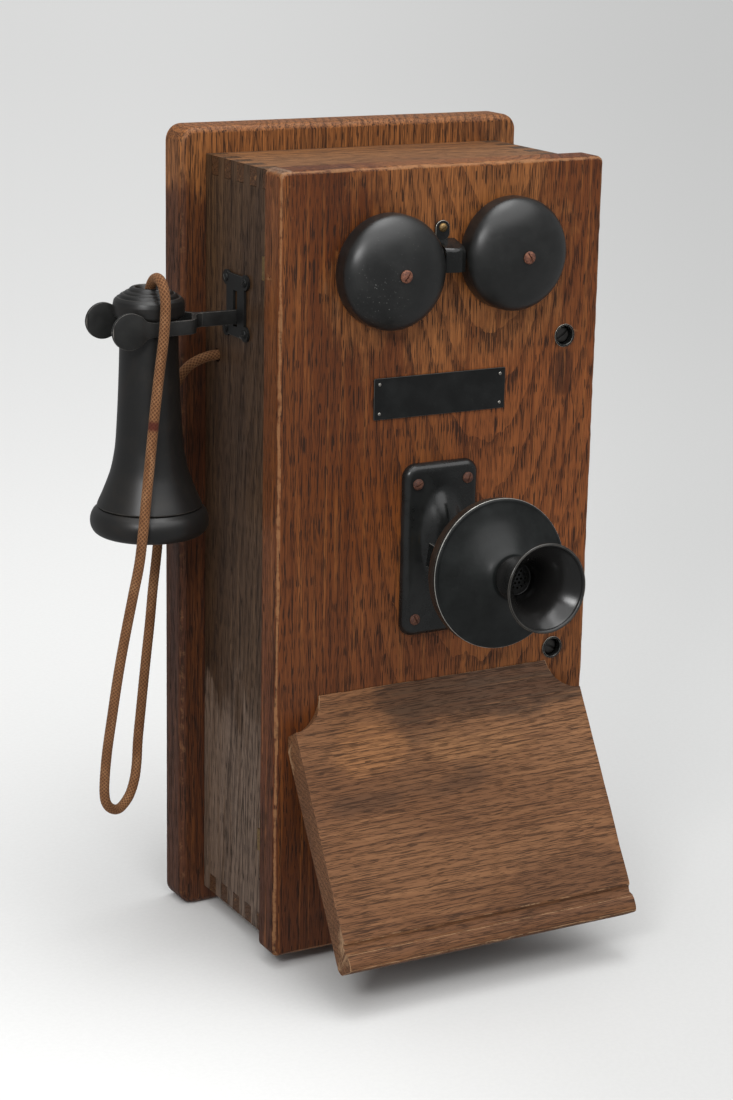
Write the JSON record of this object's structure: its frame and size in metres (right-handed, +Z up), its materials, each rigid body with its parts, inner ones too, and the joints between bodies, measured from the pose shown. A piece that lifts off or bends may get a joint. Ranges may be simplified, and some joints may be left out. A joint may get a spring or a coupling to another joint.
{
  "type": "wall crank telephone",
  "caption": "Oak wall telephone box on a backboard, with hinged door, two gongs, tilting transmitter, sloping shelf, hanging receiver and side crank.",
  "frame": {"origin": "centre of the backboard's back face, where it lies on the wall", "axes": "+Z up, +Y into the wall, +X to the right of someone facing the telephone"},
  "size_m": [0.3833, 0.2902, 0.554],
  "materials": {
    "oak": "stained quarter-sawn oak, satin shellac",
    "oak_shelf": "stained oak with worn finish",
    "maple_block": "varnished hardwood",
    "black_japan": "baked black japan, worn",
    "hard_rubber": "polished black hard rubber",
    "rusty_steel": "rusted",
    "steel": "plain steel",
    "brass": "dull brass",
    "magnet_steel": "painted magnet steel",
    "coil_wrap": "green silk-covered winding",
    "cell_card": "waxed card sleeve",
    "braided_cotton": "brown braided cotton"
  },
  "bodies": {
    "case": {"backboard": "oak", "case_left_side": "oak", "case_right_side": "oak", "case_top": "oak", "case_bottom": "oak", "hook_plate": "black_japan", "hookswitch_frame": "brass", "contact_spring_upper": "brass", "contact_spring_lower": "brass", "hinge_case_leaf_upper": "brass", "hinge_case_leaf_lower": "brass", "hinge_pin_upper": "brass", "hinge_pin_lower": "brass", "generator_frame": "brass", "generator_magnet_1": "magnet_steel", "generator_magnet_2": "magnet_steel", "crank_bushing": "black_japan", "induction_coil": "coil_wrap", "terminal_block": "maple_block", "dry_cell_left": "cell_card", "dry_cell_right": "cell_card", "receiver_cord": "braided_cotton"},
    "door": {"door_panel": "oak", "hinge_door_leaf_upper": "brass", "hinge_door_leaf_lower": "brass", "gong_left": "black_japan", "gong_right": "black_japan", "gong_post_left": "steel", "gong_post_right": "steel", "gong_screw_left": "rusty_steel", "gong_screw_right": "rusty_steel", "clapper_guard": "black_japan", "nameplate": "black_japan", "transmitter_plate": "black_japan", "transmitter_pivot_screw": "brass", "latch_cup_upper": "black_japan", "latch_cup_lower": "black_japan", "writing_shelf": "oak_shelf", "shelf_bracket_left": "black_japan", "shelf_bracket_right": "black_japan", "ringer_frame": "steel", "ringer_coil_left": "coil_wrap", "ringer_coil_right": "coil_wrap"},
    "clapper": {"clapper": "brass"},
    "latch_upper": {"latch_screw_upper": "steel"},
    "latch_lower": {"latch_screw_lower": "steel"},
    "transmitter": {"transmitter_cup": "black_japan", "transmitter_face": "black_japan", "mouthpiece": "hard_rubber", "carbon_button": "brass"},
    "hook_lever": {"hook_lever": "black_japan"},
    "receiver": {"receiver_shell": "hard_rubber", "ear_cap": "hard_rubber", "receiver_diaphragm": "steel", "receiver_magnet": "magnet_steel"},
    "crank": {"crank_shaft": "steel", "drive_gear": "brass", "crank_arm": "black_japan"},
    "crank_knob": {"crank_knob": "oak"},
    "armature": {"armature": "steel"}
  },
  "joints": [
    {"name": "door_swing", "type": "hinge", "parent": "case", "child": "door", "pos_m": [-0.11545, -0.1258, 0], "axis": [0, 0, -1], "range_deg": [0, 105]},
    {"name": "transmitter_tilt", "type": "hinge", "parent": "door", "child": "transmitter", "pos_m": [-0.001, -0.179, 0.0055], "axis": [-1, 0, 0], "range_deg": [-22, 22]},
    {"name": "clapper_swing", "type": "hinge", "parent": "door", "child": "clapper", "pos_m": [0, -0.121, 0.203], "axis": [0, 0, 1], "range_deg": [-7.9, 6.2]},
    {"name": "latch_upper_turn", "type": "hinge", "parent": "door", "child": "latch_upper", "pos_m": [0.094, -0.12, 0.1436], "axis": [0, 1, 0], "range_deg": [0, 90]},
    {"name": "latch_lower_turn", "type": "hinge", "parent": "door", "child": "latch_lower", "pos_m": [0.094, -0.12, -0.076], "axis": [0, 1, 0], "range_deg": [0, 90]},
    {"name": "receiver_lift", "type": "slide", "parent": "case", "child": "receiver", "axis": [0, 0, 1], "range_m": [0, 0.025], "deforming": ["receiver_cord"]},
    {"name": "hook_rise", "type": "hinge", "parent": "case", "child": "hook_lever", "pos_m": [-0.058, -0.0745, 0.158], "axis": [0, 1, 0], "range_deg": [0, 8.05]},
    {"name": "crank_spin", "type": "hinge", "parent": "case", "child": "crank", "pos_m": [0.1, -0.072, 0.118], "axis": [1, 0, 0], "continuous": true},
    {"name": "knob_spin", "type": "hinge", "parent": "crank", "child": "crank_knob", "pos_m": [0.14, -0.072, 0.06], "axis": [1, 0, 0], "continuous": true},
    {"name": "armature_spin", "type": "hinge", "parent": "case", "child": "armature", "pos_m": [0.05, -0.072, 0.0805], "axis": [1, 0, 0], "continuous": true}
  ],
  "couplings": [
    {"joint": "armature_spin", "follows": "crank_spin", "ratio": -4},
    {"joint": "hook_rise", "follows": "receiver_lift", "rad_per_m": 5.6}
  ]
}
